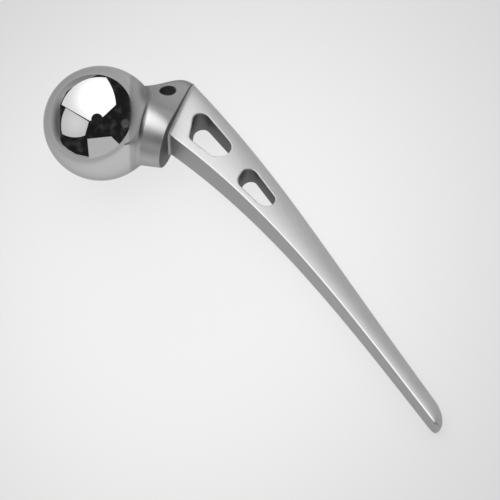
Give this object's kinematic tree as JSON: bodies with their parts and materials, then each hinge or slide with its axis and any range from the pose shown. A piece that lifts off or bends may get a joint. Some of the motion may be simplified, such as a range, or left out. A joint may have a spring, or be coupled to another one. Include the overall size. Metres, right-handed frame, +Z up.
{
  "type": "hip implant stem",
  "caption": "One-piece hip implant: a ball head, a short neck with a slanted collar, and a curved, tapering stem with slots for bone to grow through.",
  "frame": {"origin": "centre of the bounding box at the surface that the implant lies on", "axes": "+X lengthwise from the ball to the stem's nose, +Y across it towards the shoulder, +Z up"},
  "size_m": [0.194, 0.054, 0.042],
  "materials": {
    "cobalt_chrome": "mirror polish on the ball, satin on the neck and stem"
  },
  "bodies": {
    "root": {"hip_stem": "cobalt_chrome"}
  },
  "joints": []
}
